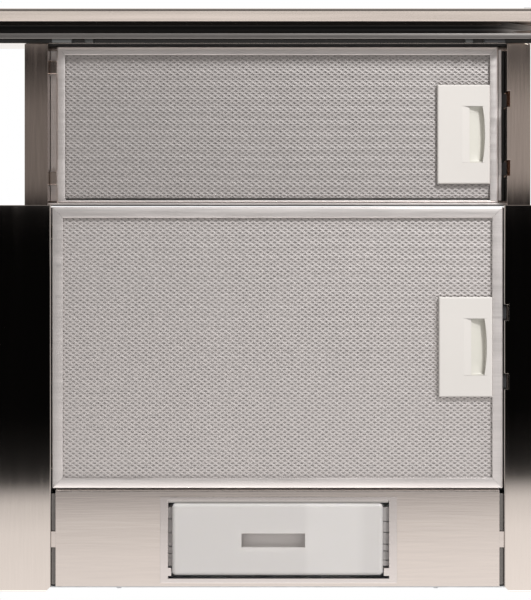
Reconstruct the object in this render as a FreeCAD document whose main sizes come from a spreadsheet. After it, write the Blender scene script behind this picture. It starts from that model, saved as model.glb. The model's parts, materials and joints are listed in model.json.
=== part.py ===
"""Telescopic range hood for a 600 mm wall cabinet.

The frame has its origin on the cabinet mounting plane, in the middle of the four mounting
screws. +X is right, +Y is the wall side, +Z is up. The grease filters face down (-Z) and the
drawer with the front handle slides out towards -Y. The drawer is modelled pulled out.
"""
import FreeCAD, Part
import Sketcher
import math
import os
import re

os.makedirs("parts", exist_ok=True)
Vector = FreeCAD.Vector
Rotation = FreeCAD.Rotation
doc = FreeCAD.newDocument("RangeHood")

# ---------------------------------------------------------------- driving dimensions, in mm
SIZES = {
    "width": (598, "overall width, for a 600 mm cabinet"),
    "depth": (290, "depth of the hood body"),
    "drop": (42, "height of the hood body below the cabinet floor"),
    "sheet": (1, "sheet steel thickness"),
    "wing_inner": (170, "inner edge of each bottom wing from the middle"),
    "wing_lip": (10, "height of the up-turned inner lip of a wing"),
    "corner_cut": (4, "chamfer at the rear inner corner of a wing"),
    "hole_x": (270, "cabinet screw holes from the middle, across"),
    "hole_y": (100, "cabinet screw holes from the middle, front to back"),
    "hole_r": (2.75, "cabinet screw hole radius"),
    "case_half": (198, "half width of the blower casing"),
    "case_front": (-120, "front face of the casing"),
    "case_rear": (142, "rear face of the casing"),
    "case_top": (160, "top of the casing above the cabinet floor"),
    "case_low": (-40, "lower edge of the casing side walls"),
    "out": (122, "how far the drawer stands out"),
    "bar_deep": (26, "depth of the front handle bar"),
    "bar_half": (297.5, "half length of the handle bar profile"),
    "member_in": (172.5, "inner face of a drawer side member"),
    "member_out": (190, "outer edge of a drawer side member"),
    "member_low": (-39.5, "underside of a drawer side member"),
    "member_top": (-15, "top of a drawer side member"),
    "member_rear": (3, "rear end of a drawer side member"),
    "panel_top": (-3, "top of the drawer's cover panel"),
    "blade_low": (-29, "underside of the fixed slide blade"),
    "blade_top": (-25, "top of the fixed slide blade"),
    "glide_gap": (0.2, "play between glide and blade"),
    "filter_half": (169, "half width of the body filter"),
    "slide_filter_half": (167, "half width of the drawer filter"),
    "filter_thick": (9, "thickness of a filter frame"),
    "rim": (8, "width of a filter frame's rim"),
    "side_rim": (6.3, "width of the drawer filter's side rims"),
    "thin_rim": (2, "width of the drawer filter's rear rim"),
    "skin": (1.5, "aluminium thickness of a filter frame"),
    "body_filter_front": (-143.5, "front edge of the body filter"),
    "body_filter_rear": (67.5, "rear edge of the body filter"),
    "body_filter_low": (-42, "underside of the body filter"),
    "slide_filter_front": (-265.7, "front edge of the drawer filter"),
    "slide_filter_rear": (-147.4, "rear edge of the drawer filter"),
    "slide_filter_low": (-29, "underside of the drawer filter"),
    "latch_left": (121, "left edge of a latch plate"),
    "latch_long": (75, "length of a latch plate"),
    "latch_mid_body": (-38.5, "middle of the body filter's latch"),
    "latch_mid_slide": (-199, "middle of the drawer filter's latch"),
    "latch_proud": (1, "how far a latch plate stands below its filter"),
    "tongue_half": (5, "half width of a latch tongue"),
    "tongue_pitch": (25.9, "tongue centre from the latch centre"),
    "light_half": (166.5, "half width of the light panel"),
    "light_front": (68.5, "front edge of the light panel"),
    "light_rear": (141, "rear edge of the light panel"),
    "lens_half": (79, "half length of the lamp cover"),
    "lens_front": (78.5, "front edge of the lamp cover"),
    "lens_rear": (132.5, "rear edge of the lamp cover"),
    "lens_low": (-45, "underside of the lamp cover"),
    "lens_top": (-37, "top edge of the lamp cover"),
    "lens_pin_y": (130, "lamp cover hinge line"),
    "lens_pin_z": (-40.5, "lamp cover hinge line"),
    "lens_pin": (1.2, "lamp cover hinge pin radius"),
    "run_gap": (0.05, "radial play of a turning pin"),
    "lamp_y": (106, "lamp axis"),
    "lamp_z": (-20, "lamp axis"),
    "fan_x": (-70, "blower axis"),
    "fan_y": (11, "blower axis"),
    "deck": (1.2, "thickness of the blower deck"),
    "scroll_top": (84, "top of the scroll"),
    "scroll_first": (88, "first radius of the scroll"),
    "scroll_step": (10, "growth of the scroll radius each quarter turn"),
    "scroll_wall": (1.5, "scroll wall"),
    "wheel_r": (78, "impeller radius"),
    "wheel_low": (14, "underside of the impeller"),
    "wheel_top": (72, "top of the impeller"),
    "shaft_r": (4, "motor shaft radius"),
    "duct_x": (100, "duct collar axis"),
    "duct_y": (11, "duct collar axis"),
    "duct_r": (60, "outer radius of the duct collar"),
    "duct_wall": (1.2, "wall of the duct collar"),
    "duct_top": (202, "top of the duct collar"),
    "flap_z": (170, "damper spindle height"),
    "spindle_r": (1.5, "damper spindle radius"),
    "button_pitch": (17.5, "spacing of the push buttons"),
    "button_first": (200, "first push button"),
    "button_z": (-21, "height of the push buttons"),
    "button_wide": (12.4, "width of a push button"),
    "button_high": (8.4, "height of a push button"),
    "screw_r": (2, "sheet screw shank radius"),
    "screw_head": (4, "sheet screw head radius"),
    "screw_hole": (2.1, "sheet screw hole radius"),
}
sheet = doc.addObject("Spreadsheet::Sheet", "Dims")
for row, (alias, (value, meaning)) in enumerate(SIZES.items(), start=1):
    sheet.set(f"A{row}", meaning)
    sheet.set(f"B{row}", str(value))
    sheet.setAlias(f"B{row}", alias)
doc.recompute()

WORD = re.compile(r"[a-z][a-z_]*")
nodes = {}


# ---------------------------------------------------------------- helpers
def dims(text):
    """An expression in the sheet's aliases, written the way the document needs it."""
    return WORD.sub(lambda found: "Dims." + found.group(0), str(text))


def value(text):
    return float(sheet.evalExpression(dims(text)))


def bind(obj, prop, text):
    obj.setExpression(prop, dims(text))


def place(obj, x, y, z):
    for axis, text in zip("xyz", (x, y, z)):
        bind(obj, f"Placement.Base.{axis}", text)


def box(x, y, z):
    block = doc.addObject("Part::Box", "Block")
    for prop, (low, high) in zip(("Length", "Width", "Height"), (x, y, z)):
        bind(block, prop, f"({high}) - ({low})")
    place(block, x[0], y[0], z[0])
    return block


TURN = {
    "X": Rotation(Vector(0, 1, 0), 90),
    "Y": Rotation(Vector(1, 0, 0), -90),
    "Z": Rotation(),
}


def rod(axis, centre, radius, span):
    """A cylinder along an axis; centre gives the other two coordinates in order."""
    cylinder = doc.addObject("Part::Cylinder", "Rod")
    cylinder.Placement = FreeCAD.Placement(Vector(), TURN[axis])
    bind(cylinder, "Radius", radius)
    bind(cylinder, "Height", f"({span[1]}) - ({span[0]})")
    where = list(centre)
    where.insert("XYZ".index(axis), span[0])
    place(cylinder, *where)
    return cylinder


def fuse(*shapes):
    joined = doc.addObject("Part::MultiFuse", "Join")
    joined.Shapes = list(shapes)
    joined.Refine = True
    return joined


def cut(base, *tools):
    result = doc.addObject("Part::Cut", "Trim")
    result.Base = base
    result.Tool = tools[0] if len(tools) == 1 else fuse(*tools)
    return result


def mirror(shape):
    copy = doc.addObject("Part::Mirroring", "Mirror")
    copy.Source = shape
    copy.Base = Vector(0, 0, 0)
    copy.Normal = Vector(1, 0, 0)
    return copy


def outline(body, role, points, offset):
    """A closed, fully dimensioned polygon sketch on one of the body's own planes."""
    plane = [f for f in body.Origin.OriginFeatures if f.Role == role][0]
    sketch = body.newObject("Sketcher::SketchObject", "Outline")
    sketch.AttachmentSupport = [(plane, "")]
    sketch.MapMode = "FlatFace"
    sketch.setExpression("AttachmentOffset.Base.z", dims(offset))
    spots = [Vector(value(x), value(y), 0) for x, y in points]
    count = len(points)
    for i in range(count):
        sketch.addGeometry(Part.LineSegment(spots[i], spots[(i + 1) % count]), False)
    for i in range(count):
        sketch.addConstraint(Sketcher.Constraint("Coincident", i, 2, (i + 1) % count, 1))
    for i, (x, y) in enumerate(points):
        for kind, text in (("DistanceX", x), ("DistanceY", y)):
            number = value(text)
            index = sketch.addConstraint(Sketcher.Constraint(kind, -1, 1, i, 1, number))
            sketch.setExpression(f"Constraints[{index}]", dims(text))
    return sketch


def profile(role, points, span):
    """A polygon pushed out between two heights of the plane's third axis."""
    body = doc.addObject("PartDesign::Body", "Profile")
    offset = f"-({span[1]})" if role == "XZ_Plane" else span[0]
    sketch = outline(body, role, points, offset)
    pad = body.newObject("PartDesign::Pad", "Pad")
    pad.Profile = sketch
    pad.setExpression("Length", dims(f"({span[1]}) - ({span[0]})"))
    sketch.Visibility = False
    return body


def turned(points, x, y):
    """A radius and height outline turned about an upright axis."""
    body = doc.addObject("PartDesign::Body", "Turned")
    sketch = outline(body, "XZ_Plane", points, 0)
    revolution = body.newObject("PartDesign::Revolution", "Revolution")
    revolution.Profile = sketch
    revolution.ReferenceAxis = (sketch, ["V_Axis"])
    revolution.Angle = 360
    sketch.Visibility = False
    place(body, x, y, 0)
    return body


def rounded(shape, radius, pick):
    """Fillets the edges for which pick(edge) is true."""
    doc.recompute()
    fillet = doc.addObject("Part::Fillet", "Round")
    fillet.Base = shape
    chosen = [i for i, edge in enumerate(shape.Shape.Edges, start=1) if pick(edge)]
    fillet.Edges = [(i, radius, radius) for i in chosen]
    return fillet


def node(name, shape):
    shape.Label = name
    nodes[name] = shape
    return shape


# ---------------------------------------------------------------- body: wings
wing_plate = profile(
    "XY_Plane",
    [
        ("wing_inner", "-depth / 2"),
        ("width / 2", "-depth / 2"),
        ("width / 2", "depth / 2"),
        ("wing_inner + corner_cut", "depth / 2"),
        ("wing_inner", "depth / 2 - corner_cut"),
    ],
    ("-drop", "-drop + sheet"),
)
wing = fuse(
    wing_plate,
    box(("width / 2 - sheet", "width / 2"), ("-depth / 2", "depth / 2"), ("-drop", 0)),
    box((195, "width / 2"), ("-depth / 2", "-depth / 2 + sheet"), ("-drop", "-sheet")),
    box(("wing_inner + corner_cut", "width / 2"), ("depth / 2 - sheet", "depth / 2"), ("-drop", 0)),
    box(("case_half", "width / 2"), ("-depth / 2", "depth / 2"), ("-sheet", 0)),
    box(("case_half", "case_half + sheet"), (-118, 140), ("-sheet", 22)),
    box(
        ("wing_inner", "wing_inner + sheet"),
        ("-depth / 2", "depth / 2 - corner_cut"),
        ("-drop", "-drop + wing_lip"),
    ),
)
wing_holes = [
    rod("Z", ("hole_x", y), "hole_r", (-5, 5)) for y in ("hole_y", "-hole_y")
] + [rod("X", (y, 16), "screw_hole", (190, 210)) for y in (-90, 10, 120)]
wing_blank = cut(wing, *wing_holes)
strikes = [
    box(
        ("wing_inner - 1", "wing_inner + 3.6"),
        (f"latch_mid_body {side} tongue_pitch - 6", f"latch_mid_body {side} tongue_pitch + 6"),
        ("-drop - 1", "-drop + wing_lip + 1"),
    )
    for side in ("-", "+")
]
node("right_wing", cut(wing_blank, *strikes))
slots = [
    box(("-wing_inner - 2", "-wing_inner + 1"), (y - 6, y + 6), ("-drop + sheet", -34))
    for y in (-124.5, 48)
]
node("left_wing", cut(mirror(wing_blank), *slots))

# ---------------------------------------------------------------- body: casing
case_shell = cut(
    box(("-case_half", "case_half"), ("case_front", "case_rear"), ("case_low", "case_top")),
    box(
        ("-case_half + sheet", "case_half - sheet"),
        ("case_front + sheet", "case_rear - sheet"),
        ("case_low - 1", "case_top - sheet"),
    ),
    box(
        ("-case_half + sheet", "case_half - sheet"),
        ("case_front - 1", "case_front + 2 * sheet"),
        ("case_low - 1", "-sheet"),
    ),
)
case_holes = [rod("X", (y, 16), "screw_hole", (-210, 210)) for y in (-90, 10, 120)]
case_holes += [rod("Y", (x, 18), "screw_hole", (-125, -110)) for x in (-120, 0, 120)]
case_holes += [rod("Y", (x, -25), "screw_hole", (135, 150)) for x in (-120, 120)]
case_holes += [
    rod(
        "Z",
        (f"duct_x + {66 * math.cos(math.radians(a)):.4f}",
         f"duct_y + {66 * math.sin(math.radians(a)):.4f}"),
        "screw_hole",
        (150, 170),
    )
    for a in (45, 135, 225, 315)
]
case_holes.append(rod("Z", ("duct_x", "duct_y"), "duct_r - 3", (150, 170)))
case_holes.append(rod("Z", (-155, 118), 8, (150, 170)))
node("casing", cut(case_shell, *case_holes))

crossmember = fuse(
    box(("-case_half", "case_half"), ("-depth / 2", "case_front"), ("-sheet", 0)),
    box(("-case_half", "case_half"), ("case_front - sheet", "case_front"), ("-sheet", 26)),
    box(("-case_half", "case_half"), ("-depth / 2", "-depth / 2 + sheet"), ("-sheet", 8)),
)
node(
    "front_crossmember",
    cut(crossmember, *[rod("Y", (x, 18), "screw_hole", (-125, -115)) for x in (-120, 0, 120)]),
)

inside = ("-case_half + sheet", "case_half - sheet")
reach = ("case_front + sheet", "case_rear - sheet")
deck_blank = fuse(
    box(inside, reach, (0, "deck")),
    box(("-case_half + sheet", "-case_half + 2 * sheet"), reach, (0, 12)),
    box(("case_half - 2 * sheet", "case_half - sheet"), reach, (0, 12)),
    box(inside, ("case_front + sheet", "case_front + 2 * sheet"), (0, 12)),
    box(inside, ("case_rear - 2 * sheet", "case_rear - sheet"), (0, 12)),
)
node("blower_deck", cut(deck_blank, rod("Z", ("fan_x", "fan_y"), 66, (-5, 5))))

# ---------------------------------------------------------------- light panel and lamp
light_y = ("light_front", "light_rear")
panel = fuse(
    box(("-light_half", "light_half"), light_y, ("-drop", "-drop + sheet")),
    box(("-light_half", "-light_half + sheet"), light_y, ("-drop", "-drop + 8")),
    box(("light_half - sheet", "light_half"), light_y, ("-drop", "-drop + 8")),
    box(("-light_half", "light_half"), ("light_front", "light_front + sheet"), ("-drop", "-drop + 8")),
    box(("-light_half", "light_half"), ("light_rear - sheet", "light_rear"), ("-drop", -12)),
    box(("light_half", "wing_inner"), (100, 112), (-40, -36)),
    box(("-wing_inner", "-light_half"), (100, 112), (-40, -36)),
)
node(
    "light_panel",
    cut(
        panel,
        box((-85, 86.6), (75, 136), ("-drop - 1", "-drop + 2")),
        *[rod("Y", (x, -25), "screw_hole", (135, 145)) for x in (-120, 120)],
    ),
)
lamp_tub = cut(
    box((-92, 93.6), (70, 139.9), ("-drop + sheet", -3)),
    box((-91, 92.6), (71, 138.9), ("-drop", -4)),
)
node("lamp_box", lamp_tub)
bezel = fuse(
    box((-88, 89.6), (74, 138.5), ("-drop - 1.2", "-drop")),
    box((-84.5, 86.1), (75.4, 135.6), ("-drop - 1.2", "-drop + 4")),
)
bezel_open = cut(bezel, box((-82, 83.6), (76.4, 135), (-50, -30)))
ears = [
    box((-82.5, -79.6), ("lens_pin_y - 3", "lens_pin_y + 3"), ("-drop - 1.2", -37.5)),
    box((79.6, 84), ("lens_pin_y - 3", "lens_pin_y + 3"), ("-drop - 1.2", -37.5)),
]
node(
    "lamp_bezel",
    cut(
        fuse(bezel_open, *ears),
        rod("X", ("lens_pin_y", "lens_pin_z"), "lens_pin + run_gap", (-83, 84.5)),
    ),
)


def low_edge(edge):
    """Edges of the cover's lower face and its four upright corners."""
    ends = [v.Point for v in edge.Vertexes]
    low = all(abs(p.z - value("lens_low")) < 0.01 for p in ends)
    upright = abs(ends[0].z - ends[-1].z) > 5
    return low or upright


cover_block = rounded(
    box(("-lens_half", "lens_half"), ("lens_front", "lens_rear"), ("lens_low", "lens_top")),
    3,
    low_edge,
)
cover_shell = cut(
    cover_block,
    box(
        ("-lens_half + 1.6", "lens_half - 1.6"),
        ("lens_front + 1.6", "lens_rear - 1.6"),
        ("lens_low + 1.6", "lens_top + 1"),
    ),
    box((-27, 20.6), (101, 111.5), (-50, -30)),
)
cover_pins = [
    rod("X", ("lens_pin_y", "lens_pin_z"), "lens_pin", span) for span in ((-81.6, -78), (78, 81.6))
]
node("lamp_cover", fuse(cover_shell, *cover_pins))

holder = fuse(
    rod("X", ("lamp_y", "lamp_z"), 13, (-50, -14)),
    box((-50, -44), ("lamp_y - 14", "lamp_y + 14"), ("lamp_z - 8", -4)),
)
node("lamp_holder", cut(holder, rod("X", ("lamp_y", "lamp_z"), 7, (-34, -13))))
bulb_profile = [(0, -34), (6.9, -34), (6.9, -8), (9.5, -2), (13.5, 6), (15.2, 16), (15.2, 28),
                (13.5, 38), (9.5, 45), (4, 49), (0, 50)]
bulb = turned(bulb_profile, 0, 0)
bulb.Placement = FreeCAD.Placement(Vector(0, 0, 0), Rotation(Vector(0, 1, 0), 90))
place(bulb, 0, "lamp_y", "lamp_z")
node("lamp_bulb", bulb)

# ---------------------------------------------------------------- blower
scroll_turns = ((-1, 1, 0), (-1, -1, 1), (1, -1, 2), (1, 1, 3))


def volute(inset, low, high):
    """Four quarter discs whose radius grows by one step at each quarter turn."""
    quarters = []
    for sx, sy, k in scroll_turns:
        quarter = doc.addObject("Part::Cylinder", "Quarter")
        quarter.Placement = FreeCAD.Placement(Vector(), Rotation(Vector(0, 0, 1), 90 * k))
        quarter.Angle = 90
        bind(quarter, "Radius", f"scroll_first + {k} * scroll_step - {inset}")
        bind(quarter, "Height", f"({high}) - ({low})")
        place(quarter, f"fan_x + {sx} * scroll_step / 2", f"fan_y + {sy} * scroll_step / 2", low)
        quarters.append(quarter)
    mouth = box(
        (f"fan_x - scroll_step / 2 + scroll_first - 3 + {inset}",
         f"fan_x + 3.5 * scroll_step + scroll_first - {inset}"),
        ("fan_y + scroll_step / 2 - 2", f"fan_y + 60 + {inset} * 4"),
        (low, high),
    )
    core = box(
        ("fan_x - scroll_step", "fan_x + scroll_step"),
        ("fan_y - scroll_step", "fan_y + scroll_step"),
        (low, high),
    )
    return fuse(*quarters, mouth, core)


bush_spots = [
    (f"fan_x + {62 * math.cos(math.radians(a)):.4f}", f"fan_y + {62 * math.sin(math.radians(a)):.4f}")
    for a in (30, 150, 270)
]
node(
    "scroll_housing",
    cut(
        volute(0, "deck", "scroll_top"),
        volute(1.5, "deck + scroll_wall", "scroll_top - scroll_wall"),
        rod("Z", ("fan_x", "fan_y"), 74, (0, 10)),
        rod("Z", ("fan_x", "fan_y"), 50, (70, 90)),
        *[rod("Z", spot, 2.5, (70, 90)) for spot in bush_spots],
    ),
)
node(
    "inlet_ring",
    turned(
        [(61, "deck"), (74, "deck"), (74, "deck + 1.3"), (66, "deck + 1.3"), (63.4, 5), (62.6, 11),
         (61, 11), (61, 5)],
        "fan_x", "fan_y",
    ),
)
blade_count = 36
wheel = [
    cut(rod("Z", ("fan_x", "fan_y"), "wheel_r", ("wheel_low", "wheel_low + 2")),
        rod("Z", ("fan_x", "fan_y"), "wheel_r - 12", ("wheel_low - 1", "wheel_low + 3"))),
    rod("Z", ("fan_x", "fan_y"), "wheel_r", ("wheel_top - 2", "wheel_top")),
    rod("Z", ("fan_x", "fan_y"), 12, ("wheel_top - 14", "wheel_top + 8")),
]
for k in range(blade_count):
    blade = doc.addObject("Part::Box", "Blade")
    blade.Length = 12
    blade.Width = 1.2
    bind(blade, "Height", "wheel_top - wheel_low - 2")
    angle = 360 * k / blade_count
    turn = Rotation(Vector(0, 0, 1), angle)
    start = turn.multVec(Vector(value("wheel_r") - 11.8, -3, 0))
    blade.Placement = FreeCAD.Placement(Vector(), Rotation(Vector(0, 0, 1), angle + 25))
    place(blade, f"fan_x + {start.x:.4f}", f"fan_y + {start.y:.4f}", "wheel_low + 1")
    wheel.append(blade)
node(
    "impeller",
    cut(fuse(*wheel), rod("Z", ("fan_x", "fan_y"), "shaft_r", (0, 90))),
)
node("motor_shaft", rod("Z", ("fan_x", "fan_y"), "shaft_r", (56, 146)))
node(
    "motor_housing",
    turned(
        [("shaft_r + run_gap", 86), (14, 86), (14, 96), (44, 96), (46, 98), (46, 112), (47.5, 112),
         (47.5, 124), (46, 124), (46, 134), (40, 138), (15, 138), (15, 141), ("shaft_r + run_gap", 141)],
        "fan_x", "fan_y",
    ),
)
node(
    "motor_bracket",
    cut(
        rod("Z", ("fan_x", "fan_y"), 72, (94, 96)),
        rod("Z", ("fan_x", "fan_y"), 18, (90, 100)),
        *[rod("Z", spot, 2.6, (90, 100)) for spot in bush_spots],
        *[
            rod("Z", (f"fan_x + {58 * math.cos(math.radians(a)):.4f}",
                      f"fan_y + {58 * math.sin(math.radians(a)):.4f}"), 9, (90, 100))
            for a in (90, 210, 330)
        ],
    ),
)
node(
    "motor_bushes",
    cut(
        fuse(*[rod("Z", spot, 7, ("scroll_top", 94)) for spot in bush_spots]),
        *[rod("Z", spot, 2.6, (80, 96)) for spot in bush_spots],
    ),
)
node(
    "motor_screws",
    fuse(*[rod("Z", spot, 4.6, (96, 99)) for spot in bush_spots],
         *[rod("Z", spot, 2.4, (79, 96)) for spot in bush_spots]),
)
node("capacitor", rounded(rod("Z", (150, -88), 14, ("deck", 48)), 2, lambda e: e.CenterOfMass.z > 40))
terminal = cut(
    box((-185, -125), (101, "case_rear - sheet"), (92, 134)),
    box((-183, -127), (100, "case_rear - sheet - 2"), (94, 132)),
)
node("terminal_box", cut(terminal, rod("Z", (-155, 118), 5, (130, 140))))
node("terminal_lid", box((-185, -125), (99, 101), (92, 134)))
node(
    "cable_grommet",
    turned(
        [(4, 156), (10.5, 156), (10.5, "case_top - sheet"), (8, "case_top - sheet"), (8, "case_top"),
         (11, "case_top"), (9.5, 163.5), (4, 163.5)],
        -155, 118,
    ),
)
node("reed_switch", box((178, 190), (131, "case_rear - sheet"), (-34, -24)))

# ---------------------------------------------------------------- duct collar and dampers
collar_ring = turned(
    [("duct_r - duct_wall", "case_top"), (74, "case_top"), (74, "case_top + 1.2"),
     ("duct_r", "case_top + 1.2"), ("duct_r", "duct_top"), ("duct_r - duct_wall", "duct_top")],
    "duct_x", "duct_y",
)
collar_spots = [
    (f"duct_x + {66 * math.cos(math.radians(a)):.4f}", f"duct_y + {66 * math.sin(math.radians(a)):.4f}")
    for a in (45, 135, 225, 315)
]
node(
    "duct_collar",
    cut(
        collar_ring,
        *[rod("Z", spot, "screw_hole", (155, 165)) for spot in collar_spots],
        rod("X", ("duct_y", "flap_z"), "spindle_r", ("duct_x - 65", "duct_x + 65")),
    ),
)
node(
    "damper_spindle",
    rod("X", ("duct_y", "flap_z"), "spindle_r", ("duct_x - duct_r + 0.3", "duct_x + duct_r - 0.3")),
)
knuckles = {"damper_flap_front": (-1, (-34, -14), (22, 42)), "damper_flap_rear": (1, (-56, -38), (-10, 18))}
for name, (side, *spans) in knuckles.items():
    disc = rod("Z", ("duct_x", "duct_y"), "duct_r - duct_wall - 1.2", ("flap_z - 3", "flap_z - 2"))
    away = [box(("duct_x - 70", "duct_x + 70"),
                ("duct_y - 70", "duct_y + 0.4") if side > 0 else ("duct_y - 0.4", "duct_y + 70"),
                ("flap_z - 9", "flap_z + 9"))]
    other = [s for n, (_, *ss) in knuckles.items() if n != name for s in ss]
    away += [box((f"duct_x + {a - 0.6}", f"duct_x + {b + 0.6}"), ("duct_y - 4", "duct_y + 4"),
                 ("flap_z - 9", "flap_z + 9")) for a, b in other]
    leaf = cut(disc, *away)
    tubes = [rod("X", ("duct_y", "flap_z"), 3, (f"duct_x + {a}", f"duct_x + {b}")) for a, b in spans]
    bore = rod("X", ("duct_y", "flap_z"), "spindle_r + run_gap", ("duct_x - 70", "duct_x + 70"))
    node(name, cut(fuse(leaf, *tubes), bore))


def screw(axis, centre, under, tip):
    """A pan-head sheet screw; under is the head's seat, tip the end of the shank."""
    head = 2.2 if under > tip else -2.2
    return [
        rod(axis, centre, "screw_head", sorted((under, under + head))),
        rod(axis, centre, "screw_r", sorted((under, tip))),
    ]


screws = []
for y in (-90, 10, 120):
    screws += screw("X", (y, 16), 199, 191) + screw("X", (y, 16), -199, -191)
for x in (-120, 0, 120):
    screws += screw("Y", (x, 18), -121, -112)
for x in (-120, 120):
    screws += screw("Y", (x, -25), 140, 144.5)
for spot in collar_spots:
    screws += screw("Z", spot, 161.2, 152)
node("casing_screws", fuse(*screws))

# ---------------------------------------------------------------- fixed slides
right_slide = fuse(
    box(("case_half - 3", "case_half - sheet"), ("-depth / 2 + 2", 125), (-38, -17)),
    box((178, "case_half - 3"), ("-depth / 2 + 2", 125), ("blade_low", "blade_top")),
)
node("slide_rail_right", right_slide)
node("slide_rail_left", mirror(right_slide))

# ---------------------------------------------------------------- drawer
bar_rear = "-depth / 2 - out"
member_y = (f"{bar_rear} + 0.8", "member_rear")
ledge_y = (f"{bar_rear} + 0.8", "slide_filter_rear")
member = fuse(
    box(("member_in", "member_in + sheet"), member_y, ("member_low", "member_top")),
    box(("member_in", "member_out"), member_y, ("member_low", "member_low + sheet")),
    box(("member_in", "member_out"), member_y, ("member_top - sheet", "member_top")),
    box(("member_out - sheet", "member_out"), member_y, ("member_low", "member_low + 3")),
    box(("slide_filter_half - 0.5", "member_in"), ledge_y, (-19.4, -18.4)),
)
drawer_notches = [
    box(
        ("member_in - 1", "member_in + 2.4"),
        (f"latch_mid_slide {side} tongue_pitch - 6", f"latch_mid_slide {side} tongue_pitch + 6"),
        ("member_low - 1", -19),
    )
    for side in ("-", "+")
]
node("drawer_member_right", cut(member, *drawer_notches))
drawer_slots = [
    box(("-member_in - 2.4", "-member_in + 1"), (y - 6, y + 6), (-29.5, -19))
    for y in (-250, -166)
]
node("drawer_member_left", cut(mirror(member), *drawer_slots))
hat_y = (f"{bar_rear} + 0.8", -146)
node(
    "drawer_top_panel",
    fuse(
        box((-176, 176), hat_y, ("panel_top - sheet", "panel_top")),
        box((-176, -175), hat_y, ("member_top", "panel_top")),
        box((175, 176), hat_y, ("member_top", "panel_top")),
        box((-190, -175), hat_y, ("member_top", "member_top + sheet")),
        box((175, 190), hat_y, ("member_top", "member_top + sheet")),
    ),
)
screw_x = (-140, -50, 50, 140)
front_rail = cut(
    box(("-member_out", "member_out"), (bar_rear, f"{bar_rear} + 0.8"), (-31.5, -4)),
    *[rod("Y", (x, -12), "screw_hole", (-275, -260)) for x in screw_x],
)
node("drawer_front_rail", front_rail)
rear_rail_y = ("slide_filter_rear + 0.4", "slide_filter_rear + 2")
node("drawer_rear_rail", box(("-member_in", "member_in"), rear_rail_y, (-31, "member_top - sheet")))
glides = []
for y in (-110, -20):
    for low, high in (
        ("member_low + sheet", "blade_low - glide_gap"),
        ("blade_top + glide_gap", "member_top - sheet"),
    ):
        glides.append(box(("member_in + sheet", "member_out - 2"), (y, y + 20), (low, high)))
    glides.append(
        box(("member_in + sheet", 177.7), (y, y + 20), ("member_low + sheet", "member_top - sheet"))
    )
right_glides = fuse(*glides)
node("drawer_glides", fuse(right_glides, mirror(right_glides)))
node("drawer_magnet", box((178, 188), ("member_rear - 3", "member_rear + 2"), (-38.5, -30)))

bar_front = f"{bar_rear} - bar_deep"
bar_points = [
    (bar_front, -2.5), (f"{bar_front} + 0.8", -0.8), (f"{bar_front} + 2.5", 0),
    (f"{bar_rear} - 1.5", 0), (bar_rear, -1.5), (bar_rear, -36), (f"{bar_rear} - 2.8", -36),
    (f"{bar_rear} - 2.8", "-drop + 0.8"), (f"{bar_rear} - 3.6", "-drop"),
    (f"{bar_rear} - 5.8", "-drop"), (f"{bar_rear} - 6.7", "-drop + 1"),
    (f"{bar_rear} - 7.9", "-drop + 3.4"), (f"{bar_rear} - 9.6", "-drop + 4.9"),
    (f"{bar_rear} - 11.2", "-drop + 5.2"), (f"{bar_rear} - 12.8", "-drop + 4.7"),
    (f"{bar_rear} - 14.4", "-drop + 3"), (f"{bar_rear} - 15.2", "-drop + 1"),
    (f"{bar_rear} - 16", "-drop"), (f"{bar_front} + 2.6", "-drop"),
    (f"{bar_front} + 0.8", "-drop + 0.8"), (bar_front, "-drop + 2.6"),
]
bar = profile("YZ_Plane", bar_points, ("-bar_half", "bar_half"))
cavity = (f"{bar_front} + 1.5", f"{bar_rear} - 1.5")
node(
    "front_fascia",
    cut(
        bar,
        box(("-bar_half - 1", "bar_half + 1"), cavity, (-35.4, -1.5)),
        box((188, 282), (f"{bar_front} - 1", f"{bar_front} + 2"), (-31, -11)),
        *[rod("Y", (x, -12), "screw_hole", (-270, -260)) for x in screw_x],
    ),
)
node("end_cap_right", profile("YZ_Plane", bar_points, ("bar_half", "width / 2")))
node("end_cap_left", profile("YZ_Plane", bar_points, ("-width / 2", "-bar_half")))
fascia_screws = []
for x in screw_x:
    fascia_screws += screw("Y", (x, -12), -266.2, -275)
node("fascia_screws", fuse(*fascia_screws))

button_x = [f"button_first + {k} * button_pitch" for k in range(5)]
panel_front = f"{bar_front} - 1.2"
windows = [
    box(
        (f"{x} - button_wide / 2 - 0.3", f"{x} + button_wide / 2 + 0.3"),
        (-300, -280),
        ("button_z - button_high / 2 - 0.3", "button_z + button_high / 2 + 0.3"),
    )
    for x in button_x
]
node(
    "control_panel",
    cut(
        fuse(
            box((186, 284), (panel_front, bar_front), (-33, -9)),
            box((188.2, 281.8), (bar_front, f"{bar_front} + 3.5"), (-30.8, -11.2)),
        ),
        *windows,
    ),
)
board = [box((189, 281), (-276, -274.4), (-31, -11))]
board += [box((x, x + 5), (-274.4, f"{bar_rear} - 1.5"), (-24, -18)) for x in (192, 232, 274)]
board += [box((f"{x} - 3", f"{x} + 3"), (-281, -276), (-24, -18)) for x in button_x]
node("switch_board", fuse(*board))
for k, x in enumerate(button_x, start=1):
    cap = box(
        (f"{x} - button_wide / 2", f"{x} + button_wide / 2"),
        (f"{panel_front} - 1.8", -289.2),
        ("button_z - button_high / 2", "button_z + button_high / 2"),
    )
    cap = rounded(cap, 0.7, lambda e: e.BoundBox.YMax < -295)
    collar = box((f"{x} - 7.6", f"{x} + 7.6"), (-289.2, -287.8), ("button_z - 6", "button_z + 6"))
    stem = box((f"{x} - 2", f"{x} + 2"), (-287.8, -283.8), ("button_z - 2", "button_z + 2"))
    node(f"button_{k}", fuse(cap, collar, stem))


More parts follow.
